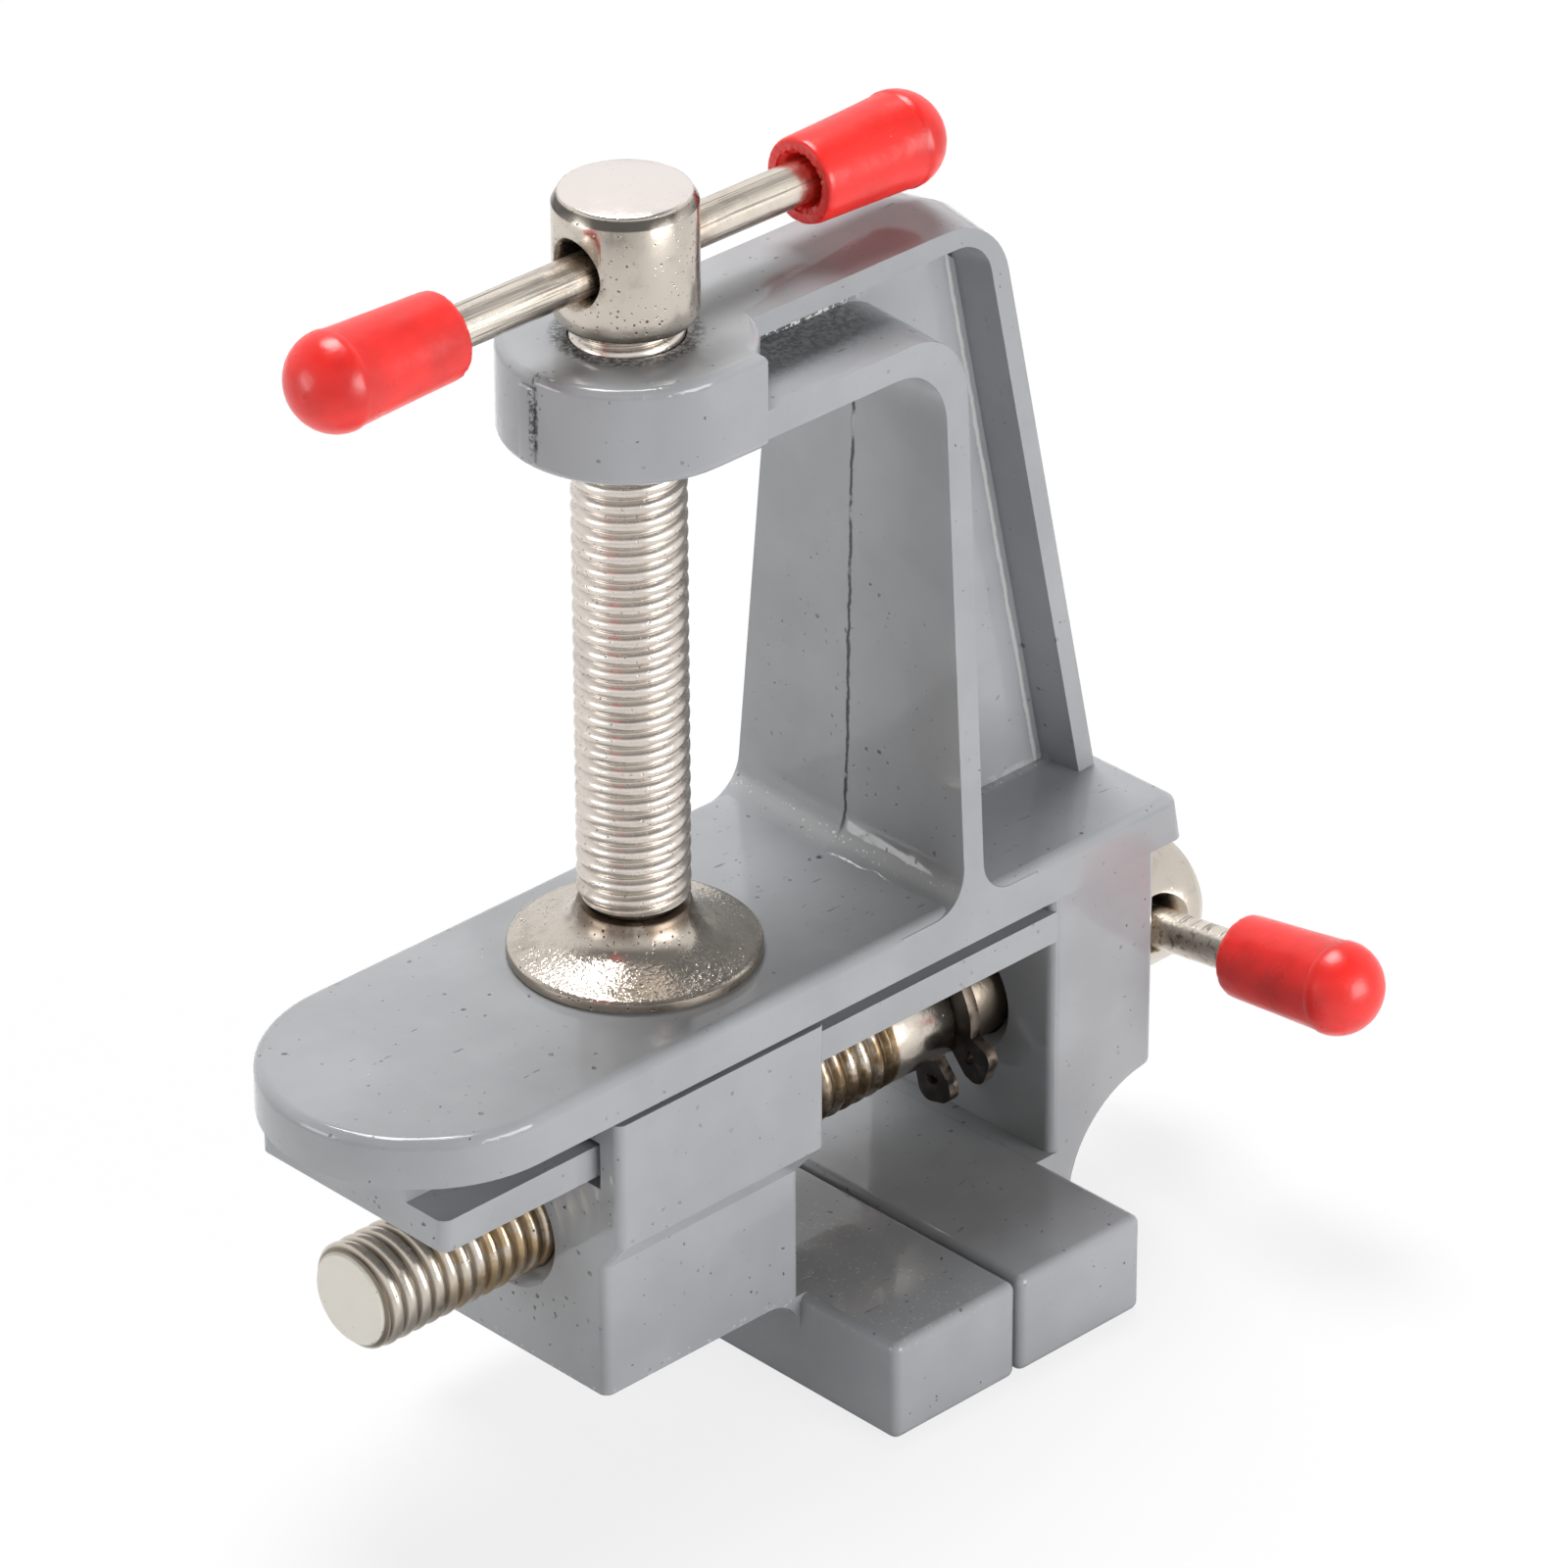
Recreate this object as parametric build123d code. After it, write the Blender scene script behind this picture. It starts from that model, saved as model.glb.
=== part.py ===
"""Clamp-on hobby bench vise, standing on its jaw tops as it is shown.

Millimetres, +Z up. X runs along the lead screw towards its handle, Y across the jaws.
The origin is the centre of the flat top of the fixed jaw, which is the face it stands on.
Both castings are symmetric about the XZ plane, which is their parting plane.
"""
import os
from math import cos, pi, radians, sin

from build123d import *

# --- Driving dimensions -------------------------------------------------------------------
# Jaws
jaw_width = 38.4            # across both jaw bars
fixed_jaw_thickness = 12.1  # along the lead screw
sliding_jaw_thickness = 11.8
jaw_height = 7.8            # jaw bar, from the shoulder to the face it stands on
jaw_gap = 0.3               # between the gripping faces as shown
jaw_edge_round = 0.7

# Base plate, which meets the table
plate_width = 22.6
plate_thickness = 3.6
plate_height = 30.3         # underside above the jaw tops
tip_reach = 30.6            # clamp screw axis to the round tip
heel_reach = 42.2           # clamp screw axis to the square end, on the underside
heel_slant = 0.7            # the square end leans in over the plate's thickness
plate_edge_round = 0.8
heel_corner_round = 1.0

# Clamp arch
clamp_axis_setback = 24.15  # clamp screw axis behind the middle of the fixed jaw
throat_height = 39.8        # table thickness that fits under the arm, without the pad
throat_depth = 19.9         # clamp screw axis to the column
arm_height = 7.4            # arm underside to the crown
throat_corner = 4.3
throat_foot_round = 3.0
pocket_corner = 5.0
pocket_foot_round = 2.6
crown_corner = 6.0
inner_flange = 2.8          # thickness at the parting plane
outer_flange = 2.6
outer_flange_width = 8.4
arm_width = 16.4            # inner flange at the top, wide as the plate at the foot
web_thickness = 1.9
column_foot_depth = 20.9    # column at the plate, along the lead screw
column_top_depth = 12.3     # column under the arm
flange_draft = 2.4          # degrees, throat side
crown_draft = 7.0           # degrees, outer side
column_lean = 0.9           # throat face leans away from the clamp screw over its height

# Boss that carries the clamp screw
boss_width = 17.4
boss_reach = 4.4            # clamp screw axis to the boss's flat end
boss_height = 7.0
boss_edge_round = 0.7

# Guide rail under the plate
rail_lead = 26.0            # clamp screw axis to the rail's free end
rail_stem_width = 11.0
rail_stem_height = 2.7
rail_flange_width = 18.4
rail_flange_height = 2.4
rail_corner = 0.8

# Wall that holds the lead screw
wall_step = 1.0             # jaw bar's back to the wall
wall_thickness = 10.3
wall_width = 18.6
wall_relief = 8.0           # radius of the hollow under the wall
wall_relief_height = 2.9    # its centre above the jaw tops
wall_corner_round = 0.8

# Sliding jaw block
block_length = 18.3
block_width = 19.7
block_head_width = 23.0
block_head_depth = 9.7      # straight side of the wide upper part
head_overhang = 0.9         # wide upper part over the block's front
head_slope = 2.2            # height of the slope below the wide upper part
block_top_gap = 0.3         # below the plate
block_gusset = 3.0          # radius between the block's underside and its jaw bar
block_edge_round = 0.7
slot_side_gap = 0.4
slot_roof_gap = 0.4
slot_floor_gap = 0.8

# Screws, bars and caps
screw_diameter = 7.8        # over the thread crests of an M8 screw
shank_diameter = 7.6
lead_axis_height = 17.6
lead_end_reach = 14.2       # lead screw beyond the block as shown
lead_thread_stop = 9.7      # smooth shank inside the wall, up to the thread
head_diameter = 9.7
head_length = 9.2
head_bevel_width = 0.5
head_bevel_length = 1.0
head_lip_round = 0.6
tip_chamfer = 0.7
bar_diameter = 3.0
bar_hole_diameter = 3.7
bar_hole_mouth = 5.2        # worn, flared mouth of the cross hole
bar_hole_mouth_depth = 1.1
bar_span = 52.4
lead_bar_shift = 3.0        # how far the lead screw's bar has slid
clamp_bar_shift = -0.25
lead_bar_angle = 8.0        # degrees above level
cap_length = 12.4
cap_diameter = 6.9
cap_rim_diameter = 6.1
cap_end_wall = 2.0
cap_mouth_diameter = 4.2
cap_mouth_depth = 0.6

# Clamp pad
pad_diameter = 17.5
pad_rim = 0.9
pad_height = 4.0
pad_collar_diameter = 7.9
pad_floor = 1.0
pad_lip = 0.9
knuckle_diameter = 6.0      # swivel end of the clamp screw
knuckle_neck_diameter = 5.0
clamp_thread_start = 4.15   # above the plate as shown
head_stand_off = 1.2        # clamp screw head above the boss as shown

# Retaining ring on the lead screw
ring_thickness = 0.9
ring_groove_diameter = 6.9
ring_back = 2.3             # radial width opposite the lugs
ring_front = 1.6            # radial width beside the lugs
ring_opening = 2.2
ring_play = 3.1             # to the wall
lug_reach = 7.2             # from the screw's axis
lug_width = 3.2
lug_hole = 1.1
lug_hole_reach = 5.3
lug_spread = 27.0           # degrees each side of the opening
ring_turn = 42.0            # degrees, opening away from straight down

# Clearances
bore_clearance = 0.05       # radial, for the screws
bore_countersink = 1.0
head_gap = 0.9              # lead screw head to the wall
ring_fit = 0.02             # radial, ring on the bottom of its groove
bar_seat_gap = 0.05         # bar to the lowest line of its cross hole
overlap = 0.5               # how deep joined casting features reach into each other
plate_root = 2.0            # how deep the arch reaches into the plate
boss_root = 2.0             # how deep the arch reaches into the boss

# --- Derived places ------------------------------------------------------------------------
clamp_x = -clamp_axis_setback
fixed_face_x = -fixed_jaw_thickness / 2
fixed_back_x = fixed_jaw_thickness / 2
sliding_face_x = fixed_face_x - jaw_gap
sliding_back_x = sliding_face_x - sliding_jaw_thickness
block_front_x = sliding_back_x
block_end_x = block_front_x - block_length
wall_inner_x = fixed_back_x + wall_step
wall_outer_x = wall_inner_x + wall_thickness
plate_top = plate_height + plate_thickness
tip_x = clamp_x - tip_reach
heel_x = clamp_x + heel_reach
column_x = clamp_x + throat_depth
arm_under = plate_top + throat_height
crown_top = arm_under + arm_height
boss_end_x = clamp_x + boss_reach
crown_foot_x = column_x + column_foot_depth
crown_lean = (column_foot_depth - column_top_depth) / throat_height
crown_corner_x = crown_foot_x - crown_lean * (crown_top - plate_top)
rail_end_x = clamp_x - rail_lead
flange_top = plate_height - rail_stem_height
flange_bottom = flange_top - rail_flange_height
block_top = plate_height - block_top_gap
head_front_x = block_front_x + head_overhang
head_step_z = block_top - block_head_depth
narrow_top_z = head_step_z - head_slope
ring_x1 = wall_inner_x - ring_play
ring_x0 = ring_x1 - ring_thickness
lead_head_x0 = wall_outer_x + head_gap
lead_head_x1 = lead_head_x0 + head_length
lead_end_x = block_end_x - lead_end_reach
lead_thread_x = wall_inner_x - lead_thread_stop
boss_top = arm_under + boss_height
clamp_head_z0 = boss_top + head_stand_off
clamp_head_z1 = clamp_head_z0 + head_length
bar_drop = (bar_hole_diameter - bar_diameter) / 2 - bar_seat_gap
clamp_bar_z = (clamp_head_z0 + clamp_head_z1) / 2 - bar_drop
lead_bar_x = (lead_head_x0 + lead_head_x1) / 2
knuckle_bottom = plate_top + pad_floor
knuckle_top = plate_top + pad_height - pad_lip - bore_clearance
cap_mouth = bar_span / 2 + cap_end_wall - cap_length   # cap's open end from the bar's middle


# --- Shared shapes --------------------------------------------------------------------------
def side_face(points):
    """A face in the XZ plane through the given (x, z) points."""
    return make_face(Polyline(*[(x, 0, z) for x, z in points], close=True))


def both_sides(points, half_width, draft=0, rounds=()):
    """Outline extruded to each side of the parting plane, narrowing away from it by the draft.

    Each of the rounds is an (x, z) corner of the outline with its radius.
    """
    half = extrude(side_face(points), half_width, dir=(0, 1, 0), taper=draft)
    for (x, z), radius in rounds:
        across = half.edges().filter_by(lambda e: e.bounding_box().size.Y > half_width * 0.9)
        half = fillet(across.sort_by_distance(Vector(x, 0, z))[0], radius)
    return half + mirror(half, Plane.XZ)


def block(x0, x1, width, z0, z1):
    """A box between two X values and two heights, centred across the jaws."""
    return Pos((x0 + x1) / 2, 0, (z0 + z1) / 2) * Box(x1 - x0, width, z1 - z0)


def rod_x(radius, x0, x1, z=0.0):
    """A cylinder along X."""
    return extrude(Plane(origin=(x0, 0, z), z_dir=(1, 0, 0)) * Circle(radius), x1 - x0)


def rod_z(radius, z0, z1, x=0.0):
    """A cylinder along Z."""
    return Pos(x, 0, z0) * extrude(Circle(radius), z1 - z0)


def turned(points):
    """A solid turned about Z from (radius, height) points."""
    return revolve(make_face(Polyline(*[(r, 0, z) for r, z in points], close=True)), Axis.Z)


def countersunk_bore_x(x0, x1, z):
    """Bore for a screw along X with a countersink at both mouths, which are open outwards."""
    radius = screw_diameter / 2 + bore_clearance
    flare = radius + bore_countersink
    mouths = [Plane(origin=(x0, 0, z), z_dir=(1, 0, 0)), Plane(origin=(x1, 0, z), z_dir=(-1, 0, 0))]
    tool = rod_x(radius, x0 - 1, x1 + 1, z)
    for mouth in mouths:
        tool += mouth * extrude(Circle(flare), bore_countersink, taper=45)
        tool += mouth * extrude(Circle(flare), -1)
    return tool


# --- Frame casting --------------------------------------------------------------------------
def base_plate():
    half = plate_width / 2
    straight = heel_x - tip_x - half
    outline = Pos(tip_x + half + straight / 2, 0) * Rectangle(straight, plate_width)
    outline += Pos(tip_x + half, 0) * Circle(half)
    side = [(tip_x - 1, plate_height), (heel_x, plate_height), (heel_x - heel_slant, plate_top),
            (tip_x - 1, plate_top)]
    plate = (Pos(0, 0, plate_height) * extrude(outline, plate_thickness)) & both_sides(side, plate_width)
    upright = plate.edges().filter_by(lambda e: e.bounding_box().size.Z > plate_thickness * 0.9)
    plate = fillet(upright.group_by(Axis.X)[-1], heel_corner_round)
    return fillet(plate.edges().group_by(Axis.Z)[-1], plate_edge_round)


def guide_rail():
    stem = block(rail_end_x, wall_inner_x + overlap, rail_stem_width, flange_top - overlap,
                 plate_height + overlap)
    flange = block(rail_end_x, wall_inner_x + overlap, rail_flange_width, flange_bottom, flange_top)
    ends = flange.edges().filter_by(Axis.Z).group_by(Axis.X)[0]
    return stem + fillet(ends, rail_corner)


def wall_and_buttress():
    """Wall for the lead screw, hollowed below its outer face, running down behind the jaw."""
    relief_x = wall_outer_x - wall_relief
    wall = [(wall_inner_x, plate_height + overlap), (wall_outer_x, plate_height + overlap),
            (wall_outer_x, 0), (wall_inner_x, 0)]
    hollow = block(relief_x, wall_outer_x + 1, 2 * wall_width, -1, wall_relief_height)
    arc = Plane(origin=(wall_outer_x, wall_width, wall_relief_height), z_dir=(0, -1, 0))
    hollow += arc * extrude(Circle(wall_relief), 2 * wall_width)
    body = both_sides(wall, wall_width / 2) - hollow
    body += block(fixed_back_x - overlap, wall_inner_x + overlap, wall_width, 0, jaw_height)
    lip = body.edges().filter_by(Axis.Y).sort_by_distance(
        Vector(wall_outer_x, 0, wall_relief_height + wall_relief))[0]
    body = fillet(lip, wall_corner_round)
    uprights = body.edges().filter_by(Axis.Z).filter_by(lambda e: e.center().Z > jaw_height + 1)
    return fillet(uprights, wall_corner_round)


def jaw_bar(face_x, back_x):
    """One jaw bar, cast round on all its edges."""
    bar = block(min(face_x, back_x), max(face_x, back_x), jaw_width, 0, jaw_height)
    return fillet(bar.edges(), jaw_edge_round)


def throat_flange():
    """Throat side of the arch: column face, round corner and arm underside."""
    t = inner_flange
    foot, root = plate_top, plate_top - plate_root
    lean = column_lean
    end = boss_end_x - boss_root
    outline = [
        (column_x - 2 * throat_foot_round, root), (column_x - 2 * throat_foot_round, foot),
        (column_x, foot), (column_x + lean, arm_under), (end, arm_under), (end, arm_under + t),
        (column_x + lean + t, arm_under + t), (column_x + t, foot),
        (column_x + t + 2 * pocket_foot_round, foot), (column_x + t + 2 * pocket_foot_round, root)]
    rounds = [((column_x, foot), throat_foot_round), ((column_x + t, foot), pocket_foot_round),
              ((column_x + lean, arm_under), throat_corner),
              ((column_x + lean + t, arm_under + t), pocket_corner)]
    return both_sides(outline, plate_width / 2, flange_draft, rounds)


def crown_flange():
    """Outer side of the arch: crown and leaning back of the column."""
    t = outer_flange
    root_x, root_z = crown_foot_x + crown_lean * plate_root, plate_top - plate_root
    end = boss_end_x - boss_root
    inner_corner = (crown_corner_x - t + crown_lean * t, crown_top - t)
    outline = [(root_x, root_z), (crown_corner_x, crown_top), (end, crown_top), (end, crown_top - t),
               inner_corner, (root_x - t, root_z)]
    rounds = [((crown_corner_x, crown_top), crown_corner), (inner_corner, crown_corner - t)]
    return both_sides(outline, outer_flange_width / 2, crown_draft, rounds)


def arch_web():
    """Thin web between the two flanges."""
    t, s = outer_flange / 2, inner_flange / 2
    foot = plate_top - overlap
    end = boss_end_x - overlap
    outline = [
        (column_x + s, foot), (crown_foot_x - t, foot),
        (crown_corner_x - t + crown_lean * crown_corner, crown_top - crown_corner),
        (crown_corner_x - crown_corner, crown_top - t), (end, crown_top - t), (end, arm_under + s),
        (column_x + s - throat_corner / 2, arm_under + s), (column_x + s, arm_under - throat_corner / 2)]
    return both_sides(outline, web_thickness / 2)


def side_taper():
    """Envelope whose sides lean in from the plate's width to the arm's."""
    foot, top = plate_width / 2, arm_width / 2
    outline = [(-foot, plate_height), (-foot, plate_top), (-top, arm_under), (-top, crown_top + 1),
               (top, crown_top + 1), (top, arm_under), (foot, plate_top), (foot, plate_height)]
    face = make_face(Polyline(*[(tip_x, y, z) for y, z in outline], close=True))
    return extrude(face, heel_x - tip_x, dir=(1, 0, 0))


def clamp_arch():
    return (throat_flange() & side_taper()) + arch_web() + crown_flange()


def screw_boss():
    half = boss_width / 2
    outline = Circle(half) + Pos(boss_reach / 2, 0) * Rectangle(boss_reach, boss_width)
    boss = Pos(clamp_x, 0, arm_under) * extrude(outline, boss_height)
    rims = boss.edges().group_by(Axis.Z)
    return fillet(rims[0] + rims[-1], boss_edge_round)


def clamp_frame():
    frame = base_plate() + guide_rail() + wall_and_buttress() + jaw_bar(fixed_face_x, fixed_back_x)
    frame += clamp_arch()
    frame += screw_boss()
    frame -= rod_z(screw_diameter / 2 + bore_clearance, arm_under - 1, crown_top + 1, clamp_x)
    frame -= countersunk_bore_x(wall_inner_x, wall_outer_x, lead_axis_height)
    return frame


# --- Sliding jaw ----------------------------------------------------------------------------
def block_outline(front_x, width, z):
    """Plan of the block at one height, from its end to the given front."""
    middle = (block_end_x + front_x) / 2
    return Pos(middle, 0, z) * RectangleRounded(front_x - block_end_x, width, block_edge_round)


def block_body():
    """Narrow part of the block, with the hollow that leads down into its jaw bar."""
    gusset_z = jaw_height - block_gusset
    body = extrude(block_outline(block_front_x, block_width, jaw_height), narrow_top_z - jaw_height)
    corner = block(block_front_x - block_gusset, block_front_x + 2 * jaw_edge_round, block_width, gusset_z,
                   jaw_height)
    hollow = Plane(origin=(block_front_x - block_gusset, block_width, gusset_z), z_dir=(0, -1, 0))
    return body + corner - hollow * extrude(Circle(block_gusset), 2 * block_width)


def block_head():
    """Wide upper part that wraps the rail and slopes down to the narrow block."""
    narrow = block_outline(block_front_x, block_width, narrow_top_z)
    wide = block_outline(head_front_x, block_head_width, head_step_z)
    return loft([narrow.face(), wide.face()], ruled=True) + extrude(wide, block_head_depth)


def rail_slot():
    neck = rail_stem_width / 2 + slot_side_gap
    wide = rail_flange_width / 2 + slot_side_gap
    roof = flange_top + slot_roof_gap
    floor = flange_bottom - slot_floor_gap
    start, end = block_end_x - 1, head_front_x + 1
    return (block(start, end, 2 * neck, roof - overlap, block_top + 1)
            + block(start, end, 2 * wide, floor, roof))


def sliding_jaw():
    jaw = block_body() + block_head()
    jaw += jaw_bar(sliding_face_x, sliding_back_x)
    jaw -= rail_slot()
    return jaw - countersunk_bore_x(block_end_x, block_front_x, lead_axis_height)


# --- Screws ---------------------------------------------------------------------------------
def turned_head():
    """Round head standing on Z = 0 with a bevelled top and a flared cross hole along X."""
    r, top = head_diameter / 2, head_length
    head = turned([(0, 0), (r - head_lip_round, 0), (r, head_lip_round), (r, top - head_bevel_length),
                   (r - head_bevel_width, top - head_bevel_length / 4),
                   (r - head_bevel_width - head_bevel_length / 4, top), (0, top)])
    hole = rod_x(bar_hole_diameter / 2, -r - 1, r + 1, top / 2)
    flare = (bar_hole_mouth - bar_hole_diameter) / 2 / bar_hole_mouth_depth
    mouth = Solid.make_cone(bar_hole_mouth / 2 + flare, bar_hole_diameter / 2, bar_hole_mouth_depth + 1)
    for side in (1, -1):
        hole += Plane(origin=(side * (r + 1), 0, top / 2), z_dir=(-side, 0, 0)) * mouth
    return head - hole


def lead_screw():
    r, shank = screw_diameter / 2, shank_diameter / 2
    along = Plane(origin=(lead_end_x, 0, 0), z_dir=(1, 0, 0))
    length = lead_thread_x - lead_end_x
    thread = turned([(0, 0), (r - tip_chamfer, 0), (r, tip_chamfer), (r, length), (0, length)])
    screw = along * thread
    screw += rod_x(shank, lead_thread_x, lead_head_x0)
    ring_seat = rod_x(shank + 1, ring_x0, ring_x1) - rod_x(ring_groove_diameter / 2, ring_x0, ring_x1)
    screw -= ring_seat
    head_place = Plane(origin=(lead_head_x0, 0, 0), x_dir=lead_bar_direction(), z_dir=(1, 0, 0))
    screw += head_place * turned_head()
    return Pos(0, 0, lead_axis_height) * screw


def clamp_screw():
    r, knuckle, neck = screw_diameter / 2, knuckle_diameter / 2, knuckle_neck_diameter / 2
    thread_z = plate_top + clamp_thread_start
    stem = turned([(0, knuckle_bottom), (knuckle - tip_chamfer, knuckle_bottom),
                   (knuckle, knuckle_bottom + tip_chamfer), (knuckle, knuckle_top), (neck, knuckle_top),
                   (neck, thread_z), (r - tip_chamfer, thread_z), (r, thread_z + tip_chamfer),
                   (r, clamp_head_z0), (0, clamp_head_z0)])
    return Pos(clamp_x, 0, 0) * (stem + Pos(0, 0, clamp_head_z0) * turned_head())


def retaining_ring():
    """Eccentric open ring with two drilled lugs, lying in the lead screw's groove."""
    inner = ring_groove_diameter / 2 + ring_fit
    outer = inner + (ring_back + ring_front) / 2
    shift = (ring_back - ring_front) / 2
    down = -90 - ring_turn
    band = Pos(-shift * cos(radians(down)), -shift * sin(radians(down))) * Circle(outer)
    for side in (1, -1):
        middle = (inner + lug_reach) / 2
        lug = Pos(middle, 0) * RectangleRounded(lug_reach - inner, lug_width, lug_width / 3)
        drilled = lug - Pos(lug_hole_reach, 0) * Circle(lug_hole / 2)
        band += Rot(0, 0, down + side * lug_spread) * drilled
    band -= Circle(inner)
    gap = Pos(lug_reach / 2, 0) * Rectangle(lug_reach, ring_opening)
    band -= Rot(0, 0, down) * gap
    place = Plane(origin=(ring_x0, 0, lead_axis_height), x_dir=(0, 1, 0), z_dir=(1, 0, 0))
    return place * extrude(band, ring_thickness)


def clamp_pad():
    rim, collar = pad_diameter / 2, pad_collar_diameter / 2
    hollow = knuckle_diameter / 2 + bore_clearance
    mouth = knuckle_neck_diameter / 2 + bore_clearance
    ceiling = pad_height - pad_lip
    outline = Polyline((rim, 0, pad_rim), (rim, 0, 0), (0, 0, 0), (0, 0, pad_floor), (hollow, 0, pad_floor),
                       (hollow, 0, ceiling), (mouth, 0, ceiling), (mouth, 0, pad_height),
                       (collar, 0, pad_height))
    slope = Spline(outline @ 1, outline @ 0, tangents=[(0.35, 0, -1), (1, 0, -0.15)])
    return Pos(clamp_x, 0, plate_top) * revolve(make_face([outline, slope]), Axis.Z)


# --- Handles --------------------------------------------------------------------------------
def handle_bar():
    """Bar along X, centred on the origin."""
    return rod_x(bar_diameter / 2, -bar_span / 2, bar_span / 2)


def bar_cap():
    """Soft cap with a round end, its open end facing -X, pushed on the bar's +X end."""
    rim, dome, bore = cap_rim_diameter / 2, cap_diameter / 2, bar_diameter / 2
    dome_start = cap_mouth + cap_length - dome
    tip = cap_mouth + cap_length
    sides = Polyline((dome_start, 0, dome), (cap_mouth, 0, rim), (cap_mouth, 0, cap_mouth_diameter / 2),
                     (cap_mouth + cap_mouth_depth, 0, bore), (bar_span / 2, 0, bore), (bar_span / 2, 0, 0),
                     (tip, 0, 0))
    slant = dome * sin(pi / 4)
    end = ThreePointArc((dome_start, 0, dome), (dome_start + slant, 0, slant), (tip, 0, 0))
    return revolve(make_face([sides, end]), Axis.X)


def lead_bar_direction():
    """The lead bar points across the jaws, raised a little on the near side."""
    angle = radians(lead_bar_angle)
    return (0, cos(angle), -sin(angle))


def handle_places():
    """Planes whose X axis lies along each bar, at the middle of each bar."""
    along = Vector(*lead_bar_direction())
    down = Vector(1, 0, 0).cross(along) * -bar_drop
    middle = Vector(lead_bar_x, 0, lead_axis_height) + along * lead_bar_shift + down
    return {"clamp": Plane(origin=(clamp_x + clamp_bar_shift, 0, clamp_bar_z), z_dir=(0, 0, 1)),
            "lead": Plane(origin=middle, x_dir=along, z_dir=(1, 0, 0))}


# --- Build ----------------------------------------------------------------------------------
def pieces():
    parts = {"clamp_frame": clamp_frame(), "sliding_jaw": sliding_jaw(), "lead_screw": lead_screw(),
             "retaining_ring": retaining_ring(), "clamp_screw": clamp_screw(), "clamp_pad": clamp_pad()}
    for name, place in handle_places().items():
        parts[name + "_bar"] = place * handle_bar()
        parts[name + "_cap_a"] = place * bar_cap()
        parts[name + "_cap_b"] = place * Rot(0, 0, 180) * bar_cap()
    return parts


def main():
    os.makedirs("parts", exist_ok=True)
    for name, shape in pieces().items():
        export_step(shape, f"parts/{name}.step")
        size = shape.bounding_box()
        print(f"{name}: {len(shape.solids())} solid, {shape.volume / 1000:.2f} cm3, "
              f"{size.min.X:.2f}..{size.max.X:.2f}  {size.min.Y:.2f}..{size.max.Y:.2f}  "
              f"{size.min.Z:.2f}..{size.max.Z:.2f}")


main()
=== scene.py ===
"""Looks of a small clamp-on vise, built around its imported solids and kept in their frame.

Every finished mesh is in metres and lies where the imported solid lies. Sizes written here are in
millimetres, as on a workshop drawing, and become metres through MM.
"""
import math

import bpy
import numpy as np
from mathutils import Matrix, Vector, noise


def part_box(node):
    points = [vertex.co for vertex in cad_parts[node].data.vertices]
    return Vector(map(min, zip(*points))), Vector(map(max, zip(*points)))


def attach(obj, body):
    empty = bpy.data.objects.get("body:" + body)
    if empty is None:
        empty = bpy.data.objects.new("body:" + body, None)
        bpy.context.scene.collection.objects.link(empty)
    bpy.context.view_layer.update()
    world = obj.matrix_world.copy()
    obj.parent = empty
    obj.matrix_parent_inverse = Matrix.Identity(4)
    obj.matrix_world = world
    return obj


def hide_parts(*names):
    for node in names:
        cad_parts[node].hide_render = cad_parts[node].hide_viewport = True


bl_info = {
    "name": "Clamp-on vise finish",
    "version": (1, 0, 0),
    "blender": (4, 5, 0),
    "location": "View3D > Sidebar > Vise",
    "description": "Dresses the packed vise: castings, threaded screws, bars, caps and studio",
    "category": "Object",
}

MM = 0.001

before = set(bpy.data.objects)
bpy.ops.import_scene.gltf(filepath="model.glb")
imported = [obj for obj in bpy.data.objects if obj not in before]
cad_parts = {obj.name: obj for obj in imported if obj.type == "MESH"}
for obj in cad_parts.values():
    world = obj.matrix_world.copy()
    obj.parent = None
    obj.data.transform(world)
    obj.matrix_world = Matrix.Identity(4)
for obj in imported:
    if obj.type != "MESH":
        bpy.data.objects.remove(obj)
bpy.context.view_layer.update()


def corners(node):
    """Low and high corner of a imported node's box, in mm."""
    return tuple(Vector(corner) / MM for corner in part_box(node))


def middle(node):
    """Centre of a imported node's box, in mm."""
    low, high = corners(node)
    return (low + high) / 2


PLATE_TOP = corners("clamp_pad")[0].z
CLAMP_X = middle("clamp_pad").x
LEAD_Z = middle("lead_screw").z
LEAD_END, LEAD_HEAD_END = (corner.x for corner in corners("lead_screw"))
RING_BACK, RING_FRONT = (corner.x for corner in corners("retaining_ring"))
CLAMP_FOOT, CLAMP_HEAD_TOP = (corner.z for corner in corners("clamp_screw"))
BLOCK_END, JAW_FACE = (corner.x for corner in corners("sliding_jaw"))
CROWN_TOP = corners("clamp_frame")[1].z
HALF_BAR = (corners("clamp_bar")[1].x - corners("clamp_bar")[0].x) / 2
CAP_TIP = corners("clamp_cap_a")[1].x - middle("clamp_bar").x
CAP_MOUTH = corners("clamp_cap_a")[0].x - middle("clamp_bar").x
ALONG_X = Vector((1, 0, 0))
OFF_AXIS = Vector((0.3, 0.2, 1))  # a direction that no bar lies along
HEAD_LENGTH = 9.2
BOSS_RADIUS = 8.7
BAR_HEIGHT = 7.8  # height of the jaw bars
SHELF = CROWN_TOP - 4.6  # ledge of the arm, below the recess in its side
POCKET_BACK = 14.05  # back wall of the column's hollow, at the height of the plate
COLUMN_LEAN = 0.216  # how far that wall leans for each mm up
LEAD_BAR_TILT = math.radians(8.0)
LEAD_BAR_LINE = Vector((0, math.cos(LEAD_BAR_TILT), -math.sin(LEAD_BAR_TILT)))
DOUBLED = 0.002  # vertices closer than this are one
SENSOR = 36  # width of the camera's film

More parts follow.
